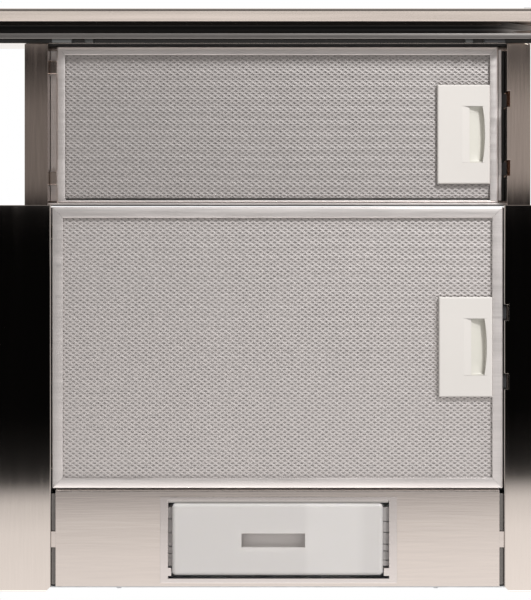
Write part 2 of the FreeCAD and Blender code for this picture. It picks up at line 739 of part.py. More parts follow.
# ---------------------------------------------------------------- grease filters with latches
def grease_filter(name, half, side_rim, front, rear, rear_rim, low, middle, left_tongues, tongue_out):
    """Frame, mesh pack, latch housing, latch slider and latch spring of one filter."""
    top = f"{low} + filter_thick"
    across = (f"-{half}", half)
    window = (f"-{half} + {side_rim}", f"{half} - {side_rim}")
    frame = cut(
        box(across, (front, rear), (low, top)),
        box(window, (f"{front} + rim", f"{rear} - {rear_rim}"), (f"{low} - 1", f"{top} + 1")),
        box(
            (f"-{half} + skin", f"{half} - skin"),
            (f"{front} + skin", f"{rear} - skin"),
            (f"{low} + skin", f"{top} - skin"),
        ),
    )
    fixed = [
        box((f"-({tongue_out})", f"-{half} + skin"), (y - 5, y + 5), (f"{low} + 2", f"{low} + 5"))
        for y in left_tongues
    ]
    centres = [f"{middle} {side} tongue_pitch" for side in ("-", "+")]
    gates = [
        box((f"{half} - {side_rim} - 1", f"{half} + 1"),
            (f"{y} - tongue_half - 0.5", f"{y} + tongue_half + 0.5"), (f"{low} + 2.2", f"{low} + 5.8"))
        for y in centres
    ]
    node(f"{name}_filter_frame", cut(fuse(frame, *fixed), *gates))
    tub_x = ("latch_left", f"{half} - {side_rim}")
    tub_y = (f"{middle} - latch_long / 2", f"{middle} + latch_long / 2")
    mesh = cut(
        box(
            (f"-{half} + skin", f"{half} - skin"),
            (f"{front} + skin", f"{rear} - skin"),
            (f"{low} + skin", f"{top} - skin"),
        ),
        box((tub_x[0], half), tub_y, (f"{low} - 5", f"{top} + 5")),
    )
    node(f"{name}_filter_mesh", mesh)
    floor = f"{low} - latch_proud"
    tub = cut(
        box(tub_x, tub_y, (floor, f"{top} - 0.5")),
        box((126, f"{half} - {side_rim} - 1.5"), (f"{middle} - 34.5", f"{middle} + 34.5"),
            (f"{floor} + 1.4", f"{top} + 1")),
        box((139.5, 157), (f"{middle} - 21.4", f"{middle} + 21.4"), (f"{floor} - 1", f"{floor} + 3")),
        *[box((f"{half} - {side_rim} - 3", half),
              (f"{y} - tongue_half - 0.5", f"{y} + tongue_half + 0.5"), (f"{low} + 2.2", f"{low} + 5.8"))
          for y in centres],
    )
    node(f"{name}_latch_housing", rounded(tub, 1.2, lambda e: e.BoundBox.ZMax < value(floor) + 0.01
                                          and not inside_window(e)))
    base = f"{floor} + 1.6"
    slide = cut(
        box((134, 158.6), (f"{middle} - 33", f"{middle} + 33"), (base, f"{low} + 7")),
        rod("Y", (146.5, f"{base} - 8.2"), 11.5, (f"{middle} - 20.8", f"{middle} + 20.8")),
        box((146.5, 156), (f"{middle} - 20.8", f"{middle} + 20.8"), (f"{base} - 1", f"{base} + 3.3")),
    )
    bolts = [
        box((157, tongue_out), (f"{y} - tongue_half", f"{y} + tongue_half"), (f"{low} + 2.5", f"{low} + 5.5"))
        for y in centres
    ]
    node(f"{name}_latch_slider", fuse(slide, *bolts))
    zigzag = [(126, -9), (127.2, -9), (133, 6), (134, 6), (134, 9), (132.4, 9), (127, -5.4), (126, -5.4)]
    node(
        f"{name}_latch_spring",
        profile("XY_Plane", [(x, f"{middle} + {y}") for x, y in zigzag], (f"{base} + 1", f"{base} + 4")),
    )


def inside_window(edge):
    box_ = edge.BoundBox
    return box_.XMin > 139 and box_.XMax < 158


grease_filter("body", "filter_half", "rim", "body_filter_front", "body_filter_rear", "rim",
              "body_filter_low", "latch_mid_body", (-124.5, 48), "wing_inner + 2")
grease_filter("drawer", "slide_filter_half", "side_rim", "slide_filter_front", "slide_filter_rear",
              "thin_rim", "slide_filter_low", "latch_mid_slide", (-250, -166), "member_in + 1")

# ---------------------------------------------------------------- check and write
doc.recompute()
for obj in doc.Objects:
    bad = [word for word in obj.State if word in ("Invalid", "Error")]
    if bad:
        raise RuntimeError(f"{obj.Name} ({obj.Label}) is {bad}")
for name, obj in nodes.items():
    if obj.Shape.isNull() or not obj.Shape.isValid():
        raise RuntimeError(f"{name} has no valid shape")
    obj.Shape.exportStep(f"parts/{name}.step")
print(len(nodes), "sub-parts written")
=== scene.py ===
"""Telescopic range hood seen from straight below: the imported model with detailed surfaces."""
import json
import math
import random

import bmesh
import bpy
from mathutils import Matrix, Vector, noise


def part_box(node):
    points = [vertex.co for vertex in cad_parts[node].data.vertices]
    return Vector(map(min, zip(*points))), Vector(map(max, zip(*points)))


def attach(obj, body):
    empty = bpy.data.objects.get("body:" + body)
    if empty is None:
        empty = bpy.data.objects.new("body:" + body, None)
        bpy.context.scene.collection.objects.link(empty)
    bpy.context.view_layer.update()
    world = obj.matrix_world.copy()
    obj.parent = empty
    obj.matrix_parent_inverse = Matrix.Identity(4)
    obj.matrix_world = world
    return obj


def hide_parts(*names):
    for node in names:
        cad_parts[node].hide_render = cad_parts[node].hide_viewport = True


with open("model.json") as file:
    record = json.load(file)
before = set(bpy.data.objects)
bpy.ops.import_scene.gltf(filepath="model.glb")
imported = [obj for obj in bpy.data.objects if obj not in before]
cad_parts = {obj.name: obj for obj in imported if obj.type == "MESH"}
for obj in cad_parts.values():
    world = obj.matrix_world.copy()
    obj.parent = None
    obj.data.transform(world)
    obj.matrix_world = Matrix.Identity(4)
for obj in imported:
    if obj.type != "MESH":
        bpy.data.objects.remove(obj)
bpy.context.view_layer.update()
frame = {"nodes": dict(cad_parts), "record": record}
BODY = {n: b for b, names in frame["record"]["behaviour"]["bodies"].items() for n in names}
MM = 0.001


# ------------------------------------------------------------------ materials
def color_ramp(tree, fac, stops):
    """A ramp through stops of place and colour, or place and grey level."""
    node = tree.nodes.new("ShaderNodeValToRGB")
    bands = node.color_ramp.elements
    while len(bands) < len(stops):
        bands.new(0.5)
    for band, (place, color) in zip(bands, stops):
        band.position = place
        band.color = (*color, 1) if isinstance(color, tuple) else (color, color, color, 1)
    tree.links.new(fac, node.inputs["Fac"])
    return node.outputs["Color"]


class Nodes:
    """A material's node tree with short calls for the nodes used here."""

    def __init__(self, name, color=(0.8, 0.8, 0.8), rough=0.4, metal=0.0):
        self.mat = bpy.data.materials.new(name)
        self.mat.use_nodes = True
        self.tree = self.mat.node_tree
        self.shader = self.tree.nodes["Principled BSDF"]
        self.set("Base Color", (*color, 1))
        self.set("Roughness", rough)
        self.set("Metallic", metal)
        self.coords = self.tree.nodes.new("ShaderNodeTexCoord").outputs["Object"]

    def set(self, socket, value):
        self.shader.inputs[socket].default_value = value

    def link(self, a, b):
        self.tree.links.new(a, b)

    def noise(self, scale, stretch=(1, 1, 1), detail=3, rough=0.5):
        """Noise over the piece's own coordinates; a small stretch draws it out along that axis."""
        turn = self.tree.nodes.new("ShaderNodeMapping")
        turn.inputs["Scale"].default_value = stretch
        self.link(self.coords, turn.inputs["Vector"])
        tex = self.tree.nodes.new("ShaderNodeTexNoise")
        tex.inputs["Scale"].default_value = scale
        tex.inputs["Detail"].default_value = detail
        tex.inputs["Roughness"].default_value = rough
        self.link(turn.outputs["Vector"], tex.inputs["Vector"])
        return tex.outputs["Fac"]

    def cells(self, scale):
        """A random colour for each cell of a Voronoi pattern."""
        tex = self.tree.nodes.new("ShaderNodeTexVoronoi")
        tex.inputs["Scale"].default_value = scale
        self.link(self.coords, tex.inputs["Vector"])
        return tex.outputs["Color"]

    def across(self):
        """The place along the piece's X axis, in metres."""
        split = self.tree.nodes.new("ShaderNodeSeparateXYZ")
        self.link(self.coords, split.inputs["Vector"])
        return split.outputs["X"]

    def color(self, fac, stops):
        self.link(color_ramp(self.tree, fac, stops), self.shader.inputs["Base Color"])

    def rough(self, fac, low, high, a=0.3, b=0.7):
        """Roughness from low to high while fac goes from a to b."""
        self.link(color_ramp(self.tree, fac, [(a, low), (b, high)]), self.shader.inputs["Roughness"])

    def bump(self, fac, strength, distance):
        node = self.tree.nodes.new("ShaderNodeBump")
        node.inputs["Strength"].default_value = strength
        node.inputs["Distance"].default_value = distance
        self.link(fac, node.inputs["Height"])
        self.link(node.outputs["Normal"], self.shader.inputs["Normal"])


def steel(name, light, dark, grain, low, high, bump, aniso=0.0):
    """Metal sheet between two tones and two roughnesses, with its grain along one axis."""
    n = Nodes(name, metal=1.0)
    fine = n.noise(900, grain, 4, 0.6)
    n.color(fine, [(0.25, dark), (0.75, light)])
    n.rough(n.noise(300, grain, 3), low, high)
    n.bump(fine, bump, 0.0002)
    n.set("Anisotropic", aniso)
    return n.mat


def plastic(name, color, rough, spread=0.03, grain=1400, bump=0.12, spec=0.5, coat=0.0):
    """Moulded plastic: faint mottling and a fine eroded surface."""
    n = Nodes(name)
    broad = n.noise(18, detail=4)
    n.color(broad, [(0.3, tuple(c * (1 - spread) for c in color)), (0.7, color)])
    fine = n.noise(grain, detail=2)
    n.rough(fine, rough - 0.05, rough + 0.07)
    n.bump(fine, bump, 0.0001)
    n.set("Specular IOR Level", spec)
    n.set("Coat Weight", coat)
    return n.mat


# stretches that draw the grain out across the hood, front to back, or not at all
ACROSS_GRAIN = (0.03, 1, 1)
ALONG_GRAIN = (1, 0.03, 1)
NO_GRAIN = (1, 1, 1)
# member_right is the same sheet as member in a lighter tone, which stands in for uneven light
M = {
    "wing": steel("polished_sheet", (0.83, 0.755, 0.70), (0.80, 0.725, 0.67), (1, 0.04, 1),
                  0.03, 0.05, 0.008),
    "panel": steel("panel_sheet", (0.80, 0.725, 0.675), (0.75, 0.675, 0.63), ACROSS_GRAIN, 0.10, 0.13, 0.03),
    "member": steel("member_sheet", (0.43, 0.355, 0.315), (0.34, 0.28, 0.245), ALONG_GRAIN, 0.06, 0.09, 0.04),
    "member_right": steel("member_sheet_right", (0.74, 0.62, 0.55), (0.62, 0.52, 0.46), ALONG_GRAIN,
                          0.06, 0.09, 0.04),
    "bar": steel("bar_finish", (0.80, 0.715, 0.655), (0.76, 0.68, 0.62), (0.02, 1, 1), 0.07, 0.10, 0.01),
    "frame": steel("frame_finish", (0.90, 0.85, 0.83), (0.82, 0.775, 0.755), (0.05, 1, 1), 0.40, 0.5, 0.08),
    "mesh": steel("mesh_finish", (0.76, 0.717, 0.70), (0.72, 0.68, 0.665), NO_GRAIN, 0.52, 0.6, 0.02),
    # drawer_mesh is the mesh metal in a darker tone, painted shade for the drawer filter
    "drawer_mesh": steel("drawer_mesh_painted_shade", (0.63, 0.592, 0.578), (0.59, 0.557, 0.543), NO_GRAIN,
                         0.52, 0.6, 0.02),
    "drawer": steel("drawer_sheet", (0.56, 0.53, 0.50), (0.47, 0.44, 0.42), ACROSS_GRAIN,
                    0.28, 0.4, 0.1, 0.4),
    "bezel": steel("bezel_finish", (0.83, 0.77, 0.745), (0.80, 0.74, 0.715), ACROSS_GRAIN, 0.16, 0.2, 0.02),
    # lip is the bar's steel painted dark: painted reflection on the groove's rear lip, painted shade in the
    # light panel's side gaps
    "lip": steel("painted_dark_reflection_and_shade", (0.24, 0.225, 0.215), (0.20, 0.19, 0.18), (0.02, 1, 1), 0.42, 0.5, 0.02),
    "zinc": steel("zinc_plate", (0.78, 0.78, 0.80), (0.66, 0.66, 0.70), NO_GRAIN, 0.22, 0.34, 0.05),
    "fleece": plastic("fleece", (0.33, 0.312, 0.304), 0.8, 0.08, 700, 0.2, 0.1),
    "painted_gap_shade": plastic("painted_gap_shade", (0.3, 0.28, 0.265), 0.5),
    "white": plastic("white_plastic", (0.56, 0.535, 0.51), 0.4),
    "baffle": plastic("baffle_paint", (0.64, 0.6, 0.585), 0.6),
    "cream": plastic("cream_plastic", (0.54, 0.525, 0.475), 0.42),
    "flange": plastic("flange_painted_gap_shade", (0.31, 0.292, 0.286), 0.35),
    "black": plastic("black_plastic", (0.022, 0.022, 0.024), 0.42, 0.2, 900, 0.25),
    "grey": plastic("grey_plastic", (0.17, 0.17, 0.175), 0.4, 0.08),
    "clip": plastic("clip_plastic", (0.085, 0.088, 0.086), 0.45, 0.08),
    "dark_clip_and_gap_shade": plastic("dark_clip_and_gap_shade_plastic", (0.04, 0.041, 0.04), 0.45, 0.08),
    "rubber": plastic("rubber", (0.018, 0.018, 0.018), 0.7, 0.2, 700, 0.3),
    "board": plastic("circuit_board", (0.02, 0.12, 0.05), 0.35, 0.2),
    "motor": plastic("motor_lacquer", (0.045, 0.045, 0.05), 0.3, 0.15, 500, 0.1, coat=0.3),
}


def galvanised():
    """Zinc coated sheet: large flat crystals of slightly different tone."""
    n = Nodes("galvanised_sheet", metal=1.0)
    crystal = n.cells(110)
    n.color(crystal, [(0.1, (0.47, 0.49, 0.51)), (0.9, (0.66, 0.68, 0.70))])
    n.rough(crystal, 0.34, 0.5, 0.1, 0.9)
    n.bump(n.noise(420, detail=4), 0.12, 0.0002)
    return n.mat


def opal():
    """The lamp cover's translucent white plastic, with a paler band beside the finger slot painted in for light
    from behind the cover showing through.
    """
    plain, pale = (0.74, 0.715, 0.70), (0.79, 0.765, 0.75)
    n = Nodes("opal_plastic", plain, 0.3)
    # painted light: the pale band stands in for light from behind the cover
    n.color(n.across(), [(0.0215, plain), (0.023, pale), (0.06, pale), (0.066, plain)])
    n.set("Subsurface Weight", 0.2)
    n.set("Subsurface Radius", (0.006, 0.006, 0.005))
    n.set("Transmission Weight", 0.4)
    n.set("IOR", 1.49)
    n.bump(n.noise(260, detail=3), 0.05, 0.0004)
    return n.mat


def lamp_glass():
    """The bulb's frosted glass."""
    n = Nodes("lamp_glass", (0.92, 0.91, 0.88), 0.35)
    n.set("Transmission Weight", 0.3)
    n.bump(n.noise(60), 0.02, 0.0005)
    return n.mat


def painted_groove_reflection():
    """Painted reflection: black plastic for the dark that the finger groove mirrors, turning grey brown towards
    the right end of the grip where the groove mirrors light.
    """
    n = Nodes("painted_groove_reflection", rough=0.3)
    n.color(n.across(), [(0.15, (0.003, 0.0028, 0.0026)), (0.166, (0.014, 0.012, 0.011)),
                         (0.182, (0.13, 0.118, 0.11)), (0.195, (0.33, 0.3, 0.28))])
    n.set("Specular IOR Level", 0.12)
    return n.mat


M["zinc_sheet"] = galvanised()
M["grip"] = painted_groove_reflection()
M["opal"] = opal()
M["glass"] = lamp_glass()


# ------------------------------------------------------------------ making pieces
def new_object(name, mesh, body, material, smooth=40):
    """Adds a piece that rides on a body; edges sharper than smooth degrees stay sharp."""
    obj = bpy.data.objects.new(name, mesh)
    bpy.context.scene.collection.objects.link(obj)
    mesh.materials.clear()
    mesh.materials.append(material)
    if smooth:
        for p in mesh.polygons:
            p.use_smooth = True
        mesh.set_sharp_from_angle(angle=math.radians(smooth))
    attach(obj, body)
    return obj


def mesh_from(bm, name):
    """Turns finished bmesh work into a mesh."""
    mesh = bpy.data.meshes.new(name)
    bm.to_mesh(mesh)
    bm.free()
    return mesh


def bevel(obj, width, segments=3):
    """Rounds every edge sharper than 35 degrees and keeps the flat faces shaded flat."""
    mod = obj.modifiers.new("edges", "BEVEL")
    mod.width = width
    mod.segments = segments
    mod.limit_method = "ANGLE"
    mod.angle_limit = math.radians(35)
    mod.harden_normals = True
    flat = obj.modifiers.new("flat_faces", "WEIGHTED_NORMAL")
    flat.weight = 100
    flat.keep_sharp = True


def clean_copy(node):
    """The node's surface with its split corners joined and flat faces made whole."""
    mesh = frame["nodes"][node].data.copy()
    if "custom_normal" in mesh.attributes:
        mesh.attributes.remove(mesh.attributes["custom_normal"])
    bm = bmesh.new()
    bm.from_mesh(mesh)
    bmesh.ops.remove_doubles(bm, verts=bm.verts, dist=2e-6)
    bmesh.ops.dissolve_limit(bm, angle_limit=math.radians(1.0), verts=bm.verts, edges=bm.edges)
    bm.to_mesh(mesh)
    bm.free()
    return mesh


def bend(obj, picks, radius):
    """Rounds the outside of each fold whose two ends pass a test; each test has its share of the radius."""
    mesh = obj.data
    weights = mesh.attributes.new("bevel_weight_edge", "FLOAT", "EDGE")
    for edge in mesh.edges:
        ends = [mesh.vertices[v].co for v in edge.vertices]
        for pick, share in picks:
            if all(pick(p) for p in ends):
                weights.data[edge.index].value = share
    mod = obj.modifiers.new("bend", "BEVEL")
    mod.width = radius
    mod.segments = 6
    mod.limit_method = "WEIGHT"
    mod.harden_normals = True


def finish_node(node, material, width, folds, radius, smooth):
    """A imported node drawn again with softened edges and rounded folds."""
    obj = new_object(f"{node}_skin", clean_copy(node), BODY[node], material, smooth)
    if folds:
        bend(obj, folds, radius)
    bevel(obj, width, 2)
    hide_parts(node)


def paint(node, material):
    """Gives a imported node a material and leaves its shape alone."""
    obj = frame["nodes"][node]
    for slot in obj.material_slots:
        slot.material = material


# nodes drawn again: material and edge width in mm
SKINS = {
    "left_wing": ("wing", 0.35), "right_wing": ("wing", 0.35), "light_panel": ("panel", 0.3),
    "front_fascia": ("bar", 0.25), "end_cap_left": ("grey", 0.3), "end_cap_right": ("grey", 0.3),
    "drawer_member_left": ("member", 0.25), "drawer_member_right": ("member_right", 0.25),
    "drawer_top_panel": ("drawer", 0.3), "drawer_front_rail": ("rubber", 0.15),
    "drawer_rear_rail": ("frame", 0.3), "casing": ("zinc_sheet", 0.3),
    "front_crossmember": ("zinc_sheet", 0.3), "slide_rail_left": ("zinc_sheet", 0.3),
    "slide_rail_right": ("zinc_sheet", 0.3), "lamp_box": ("zinc_sheet", 0.3),
    "lamp_holder": ("white", 0.4), "duct_collar": ("black", 0.4), "cable_grommet": ("rubber", 0.4),
    "control_panel": ("black", 0.3), "reed_switch": ("black", 0.4), "drawer_magnet": ("motor", 0.3),
    "drawer_glides": ("white", 0.3), "terminal_box": ("grey", 0.4), "terminal_lid": ("grey", 0.4),
    "motor_bracket": ("zinc_sheet", 0.3), "lamp_bezel": ("bezel", 0.4),
}


def near(axis, value):
    """A test for points whose distance from the middle along an axis is the given one."""
    return lambda p: abs(abs(p[axis]) - abs(value)) < 2e-5


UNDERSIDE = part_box("left_wing")[0].z
PANEL_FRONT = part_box("light_panel")[0].y
WING_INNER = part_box("right_wing")[0].x
WING_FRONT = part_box("right_wing")[0].y


def inner_fold(p):
    return near(0, WING_INNER)(p) and near(2, UNDERSIDE)(p)


def front_fold(p):
    return p.y < 0 and near(1, WING_FRONT)(p) and near(2, UNDERSIDE)(p)


def rear_fold(p):
    return p.y > 0 and near(1, WING_FRONT)(p) and near(2, UNDERSIDE)(p)


def panel_fold(p):
    return near(1, PANEL_FRONT)(p) and near(2, UNDERSIDE)(p)


# folds to round: tests with their share of the radius, and the radius in mm
WING_FOLDS = ((inner_fold, 1.0), (rear_fold, 1.0), (front_fold, 0.32))
FOLDS = {
    "left_wing": (WING_FOLDS, 2.8),
    "right_wing": (WING_FOLDS, 2.8),
    "light_panel": (((panel_fold, 1.0),), 1.4),
}
# nodes kept as they are: material
PAINTS = {
    "blower_deck": "zinc_sheet", "scroll_housing": "black", "inlet_ring": "black", "motor_housing": "motor",
    "motor_bushes": "rubber", "capacitor": "white", "damper_spindle": "zinc", "motor_screws": "zinc",
    "casing_screws": "zinc", "fascia_screws": "zinc", "switch_board": "board", "impeller": "black",
    "motor_shaft": "zinc", "damper_flap_front": "black", "damper_flap_rear": "black", "lamp_bulb": "glass",
    "body_latch_spring": "black", "drawer_latch_spring": "black",
    "body_latch_housing": "white", "drawer_latch_housing": "white",
    "lamp_cover": "opal", **{f"button_{k}": "grey" for k in range(1, 6)},
}
for node, (key, width) in SKINS.items():
    folds, radius = FOLDS.get(node, (None, 0))
    smooth = 20 if node == "front_fascia" else 40
    finish_node(node, M[key], width * MM, folds, radius * MM, smooth)
for node, key in PAINTS.items():
    paint(node, M[key])


# ------------------------------------------------------------------ filter mesh and frame
# height and length of each sheet's short ripple and height of its longer buckle, in metres;
# jitter of its joints in mm
RIPPLE = 0.035 * MM
RIPPLE_LENGTH = 9.3 * MM
BUCKLE = 0.05 * MM
JITTER = 0.12


def expanded_layer(bm, area, holes, z, pitch, strand, lift, seed):
    """One sheet of expanded metal: diamonds whose strands tilt the way the slit sheet twists."""
    (x0, x1), (y0, y1) = area
    px, py = pitch
    rng = random.Random(seed)
    shift_x = rng.uniform(0, px)
    shift_y = rng.uniform(0, py)
    corners = {}

    def wave(x, y):
        turn = 2 * math.pi * y / RIPPLE_LENGTH + 2 * noise.noise(Vector((x * 9, y * 9, seed)))
        return RIPPLE * math.sin(turn) + BUCKLE * noise.noise(Vector((x * 38, y * 38, seed * 3.1)))

    def corner(i, j):
        key = (i, j)
        if key not in corners:
            x = x0 + shift_x + i * px / 2
            y = y0 + shift_y + j * py / 2
            jitter = Vector((rng.uniform(-1, 1), rng.uniform(-1, 1), rng.uniform(-0.2, 0.2)))
            corners[key] = bm.verts.new(Vector((x, y, z + wave(x, y))) + jitter * JITTER * MM)
        return corners[key]

    inner_x = 1 - 2 * strand / px
    inner_y = 1 - 2 * strand / py
    for i in range(0, int(2 * (x1 - x0) / px) - 1):
        for j in range(0, int(2 * (y1 - y0) / py) - 1):
            if (i + j) % 2:
                continue
            cx = x0 + shift_x + i * px / 2
            cy = y0 + shift_y + j * py / 2
            if cx - px / 2 < x0 or cx + px / 2 > x1 or cy - py / 2 < y0 or cy + py / 2 > y1:
                continue
            if any(a - px / 2 < cx < b + px / 2 and c - py / 2 < cy < d + py / 2 for a, b, c, d in holes):
                continue
            outer = [corner(i + 1, j), corner(i, j + 1), corner(i - 1, j), corner(i, j - 1)]
            up = wave(cx, cy) + z
            tips = ((px / 2, 0, 0), (0, py / 2, lift), (-px / 2, 0, 0), (0, -py / 2, -lift))
            ring = [bm.verts.new((cx + a * inner_x, cy + b * inner_y, up + c)) for a, b, c in tips]
            for k in range(4):
                n = (k + 1) % 4
                bm.faces.new((outer[k], outer[n], ring[n], ring[k]))


# pitch across, pitch front to back, strand and lift of each layer from the underside up, in mm
LAYERS = (
    (5.2, 3.6, 0.86, 0.05), (5.2, 3.6, 0.92, 0.05), (5.2, 3.6, 0.98, 0.06),
    (7.8, 5.4, 1.9, 0.08), (7.8, 5.4, 2.1, 0.08),
)
# gap beside the frame, height of the first layer, step between layers, their thickness and the fleece, in mm
MESH_MARGIN = 1.5
FIRST_LAYER = 0.9
LAYER_STEP = 0.36
LAYER_THICK = 0.1
FLEECE_LOW, FLEECE_HIGH = 1.62, 1.74


def filter_mesh(name, node, body, latch, finish):
    """Layers of expanded metal with a fleece among them, all left out around the latch."""
    low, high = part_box(node)
    edge = MESH_MARGIN * MM
    area = ((low.x + edge, high.x - edge), (low.y + edge, high.y - edge))
    for k, (across, deep, strand, lift) in enumerate(LAYERS):
        bm = bmesh.new()
        z = low.z + (FIRST_LAYER + k * LAYER_STEP) * MM
        expanded_layer(bm, area, [latch], z, (across * MM, deep * MM), strand * MM, lift * MM, 11 + k)
        sheet = mesh_from(bm, f"{name}_{k}")
        obj = new_object(f"{name}_layer_{k}", sheet, body, finish, smooth=0)
        thick = obj.modifiers.new("sheet", "SOLIDIFY")
        thick.thickness = LAYER_THICK * MM
        thick.offset = 0
        if k == 0:
            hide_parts(node)
    left, _, front, rear = [v / MM for v in latch]
    low, high = low / MM, high / MM
    split = left - 0.5
    sheets = (
        ((low.x + 2, low.y + 2), (split, high.y - 2)),
        ((split, low.y + 2), (high.x - 2, front - 0.5)),
        ((split, rear + 0.5), (high.x - 2, high.y - 2)),
    )
    for k, (a, b) in enumerate(sheets):
        block(f"{name}_fleece_{k}", (*a, low.z + FLEECE_LOW), (*b, low.z + FLEECE_HIGH), body, M["fleece"],
              0.02)


def rail_profile(width, high, wall):
    """Cross-section of a filter rail: u inward from the outer edge, w up from the underside."""
    r = 1.1 * MM
    inner = 0.4 * MM
    pts = []

    def arc(cx, cy, radius, a0, a1, steps=4):
        for s in range(steps + 1):
            a = math.radians(a0 + (a1 - a0) * s / steps)
            pts.append((cx + radius * math.cos(a), cy + radius * math.sin(a)))

    arc(r, r, r, 180, 270)
    arc(width - 0.5 * wall, 0.5 * wall, 0.5 * wall, -90, 90)
    arc(wall + inner, wall + inner, inner, 270, 180, 2)
    arc(wall + inner, high - wall - inner, inner, 180, 90, 2)
    arc(width - 0.5 * wall, high - 0.5 * wall, 0.5 * wall, -90, 90)
    arc(r, high - r, r, 90, 180)
    return pts


def block(name, low, high, body, material, width):
    """A box between two corners with edges rounded by width, all in mm."""
    bm = bmesh.new()
    middle = Vector([(a + b) / 2 * MM for a, b in zip(low, high)])
    size = [abs(b - a) * MM for a, b in zip(low, high)]
    bmesh.ops.create_cube(bm, size=1, matrix=Matrix.Translation(middle) @ Matrix.Diagonal((*size, 1)))
    obj = new_object(name, mesh_from(bm, name), body, material)
    bevel(obj, width * MM)


def loft(name, loops, body, material):
    """A closed piece through rings of points in mm, capped at both ends."""
    bm = bmesh.new()
    rings = [[bm.verts.new(Vector(p) * MM) for p in ring] for ring in loops]
    for one, two in zip(rings, rings[1:]):
        for a in range(len(one)):
            b = (a + 1) % len(one)
            bm.faces.new((one[a], two[a], two[b], one[b]))
    bm.faces.new(rings[0])
    bm.faces.new(reversed(rings[-1]))
    bmesh.ops.recalc_face_normals(bm, faces=bm.faces)
    return new_object(name, mesh_from(bm, name), body, material, 35)


def filter_frame(name, node, body, rect, high, rims, tongues):
    """Four mitred rails of folded aluminium, with stamped tongues on the left."""
    x0, x1, y0, y1, z0 = rect
    wall, gap = 0.9, 0.1
    corners = [Vector((x0, y0)), Vector((x1, y0)), Vector((x1, y1)), Vector((x0, y1))]
    inward = [Vector((0, 1)), Vector((-1, 0)), Vector((0, -1)), Vector((1, 0))]
    for k in range(4):
        n = (k + 1) % 4
        along = (corners[n] - corners[k]).normalized()
        section = [(u / MM, w / MM) for u, w in rail_profile(rims[k] * MM, high * MM, wall * MM)]
        loops = []
        for base, side, other in ((corners[k], 1, rims[k - 1]), (corners[n], -1, rims[n])):
            ring = []
            for u, w in section:
                spot = base + inward[k] * u + along * side * (gap + u * other / rims[k])
                ring.append((*spot, z0 + w))
            loops.append(ring)
        rail = loft(f"{name}_rail_{k}", loops, body, M["frame"])
        if k == 0:
            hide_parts(node)
    # the tongues take the member's darker sheet rather than the frame's aluminium: painted shade
    for k, (a, b, y) in enumerate(tongues):
        block(f"{name}_tongue_{k}", (a, y - 5, z0 + 2), (b, y + 5, z0 + 5), body, M["member"],
              0.6)


# the sliding plate from left to right, the finger dish in it and half the dish's length, in mm
PLATE_LEFT, PLATE_RIGHT = 134, 158.6
DISH_LEFT, DISH_RIGHT = 145.2, 156.4
DISH_HALF = 20.6


def dish_depth(x, y):
    """Depth of the finger dish: it slopes down to the right and closes at both ends."""
    if abs(y) >= DISH_HALF or x <= DISH_LEFT or x >= DISH_RIGHT:
        return 0.0
    t = (x - DISH_LEFT) / (DISH_RIGHT - DISH_LEFT)
    side = min(1.0, (DISH_HALF - abs(y)) / 0.5)
    return (0.5 + 3.4 * t) * side


def latch_slider(name, node, body, middle, low, reach):
    """The sliding plate with its finger dish and two bolts."""
    base = low + 0.6
    top = low + 7
    columns = [PLATE_LEFT, 140, DISH_LEFT]
    columns += [DISH_LEFT + 0.15 + k * (DISH_RIGHT - 0.5 - DISH_LEFT) / 12 for k in range(13)]
    columns += [DISH_RIGHT, PLATE_RIGHT]
    rows = [-33, -26, -DISH_HALF, -20.2, -19.4, -12, 0, 12, 19.4, 20.2, DISH_HALF, 26, 33]
    bm = bmesh.new()

    def grid(height):
        return [[bm.verts.new((x * MM, (middle + y) * MM, height(x, y) * MM)) for y in rows] for x in columns]

    under = grid(lambda x, y: base + dish_depth(x, y))
    over = grid(lambda x, y: top)
    last_x = len(columns) - 1
    last_y = len(rows) - 1
    for i in range(last_x):
        for j in range(last_y):
            bm.faces.new((under[i][j], under[i][j + 1], under[i + 1][j + 1], under[i + 1][j]))
            bm.faces.new((over[i][j], over[i + 1][j], over[i + 1][j + 1], over[i][j + 1]))
    for i in range(last_x):
        for j in (0, last_y):
            bm.faces.new((under[i][j], under[i + 1][j], over[i + 1][j], over[i][j]))
    for j in range(last_y):
        for i in (0, last_x):
            bm.faces.new((under[i][j], over[i][j], over[i][j + 1], under[i][j + 1]))
    bmesh.ops.recalc_face_normals(bm, faces=bm.faces)
    plate = new_object(f"{name}_plate", mesh_from(bm, name), body, M["cream"], 30)
    # the bolts are black as painted shade, so they read as the dark gap beside the filter
    for k, y in enumerate((middle - 25.9, middle + 25.9)):
        block(f"{name}_bolt_{k}", (157, y - 5, low + 2.5), (reach, y + 5, low + 5.5), body, M["black"],
              0.5)
    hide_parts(node)


# the finger window in the latch housing: half its length, its right edge and how far that edge bows, in mm
WINDOW_HALF = 21.3
WINDOW_RIGHT = 157.0
WINDOW_BOW = 1.9


def latch_trim(name, body, middle, low):
    """The ramp into the finger window and the window's bowed outer edge, moulded with the housing."""
    floor = low - 0.95
    inner = low + 0.38
    ends = (middle - WINDOW_HALF, middle + WINDOW_HALF)
    ramp = [[(139.3, y, floor), (141, y, floor + 0.12), (145.4, y, inner - 0.06), (145.4, y, inner),
             (139.3, y, inner)] for y in ends]
    loft(f"{name}_ramp", ramp, body, M["white"])
    back = WINDOW_RIGHT + 0.3
    loops = []
    for k in range(13):
        t = k / 6 - 1
        y = middle + WINDOW_HALF * t
        edge = WINDOW_RIGHT - WINDOW_BOW * t * t
        loops.append([(edge, y, floor), (edge, y, inner), (back, y, inner), (back, y, floor)])
    loft(f"{name}_bow", loops, body, M["white"])


